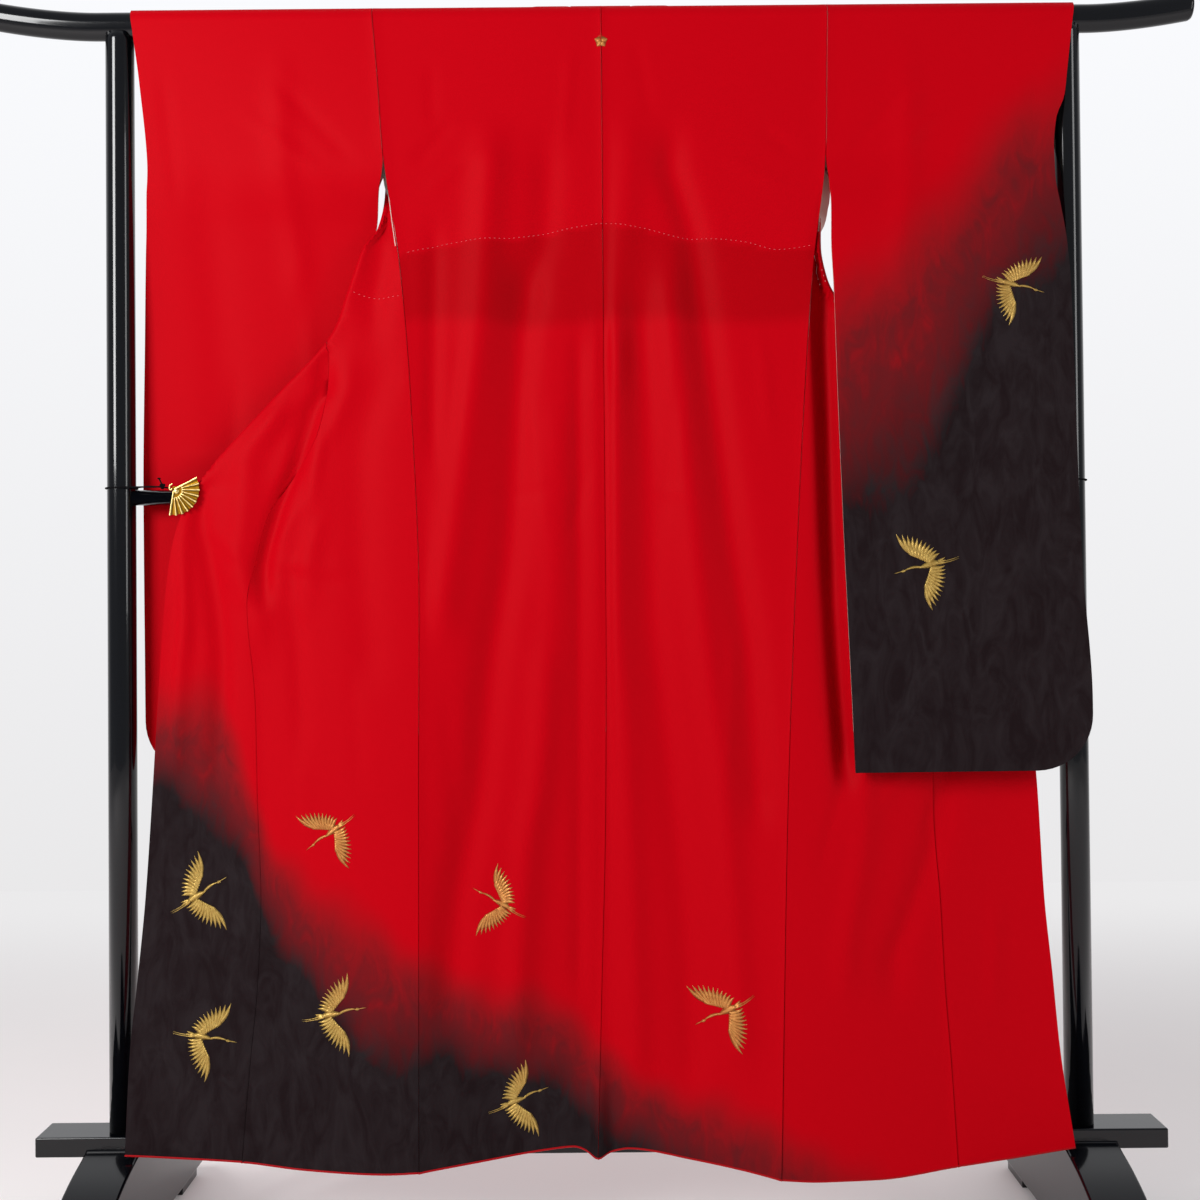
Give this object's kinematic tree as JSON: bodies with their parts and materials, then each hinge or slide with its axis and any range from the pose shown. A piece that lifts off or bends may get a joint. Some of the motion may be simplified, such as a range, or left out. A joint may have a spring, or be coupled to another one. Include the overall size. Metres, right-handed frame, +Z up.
{
  "type": "furisode on a kimono stand",
  "caption": "Long-sleeved formal kimono hung back outwards on a lacquered stand, its fronts turned out and held by gilt fan clips tied to the posts.",
  "frame": {"origin": "on the floor, midway between the two feet and below the middle of the top bar", "axes": "+Z up, -Y out of the displayed back of the garment, +X to the right of someone who looks at that back"},
  "size_m": [1.736, 0.54, 1.7973],
  "materials": {
    "red_silk": "smooth silk with a soft sheen, red dyed into black",
    "black_silk": "smooth silk with a soft sheen, dyed from red to black",
    "hem_silk": "plain red lining silk",
    "lacquer": "black gloss lacquer",
    "gilt": "gilt, lightly worn",
    "cord": "thin black twisted cord"
  },
  "bodies": {
    "root": {"back_left": "red_silk", "back_right": "red_silk", "front_left": "red_silk", "okumi_left": "black_silk", "front_right": "red_silk", "okumi_right": "red_silk", "collar_left": "red_silk", "collar_right": "red_silk", "collar_neck": "red_silk", "sleeve_left_back": "red_silk", "sleeve_left_front": "red_silk", "sleeve_right_back": "black_silk", "sleeve_right_front": "black_silk", "fuki_back_left": "hem_silk", "fuki_front_left": "hem_silk", "fuki_okumi_left": "hem_silk", "fuki_back_right": "hem_silk", "fuki_front_right": "hem_silk", "fuki_okumi_right": "hem_silk", "top_bar": "lacquer", "mid_bar": "lacquer", "base_board": "lacquer", "post_left": "lacquer", "foot_left": "lacquer", "foot_pad_left_near": "lacquer", "foot_pad_left_far": "lacquer", "post_right": "lacquer", "foot_right": "lacquer", "foot_pad_right_near": "lacquer", "foot_pad_right_far": "lacquer", "clip_fan_left": "gilt", "clip_jaw_left": "gilt", "clip_string_left": "cord", "clip_fan_right": "gilt", "clip_jaw_right": "gilt", "clip_string_right": "cord"}
  },
  "joints": []
}
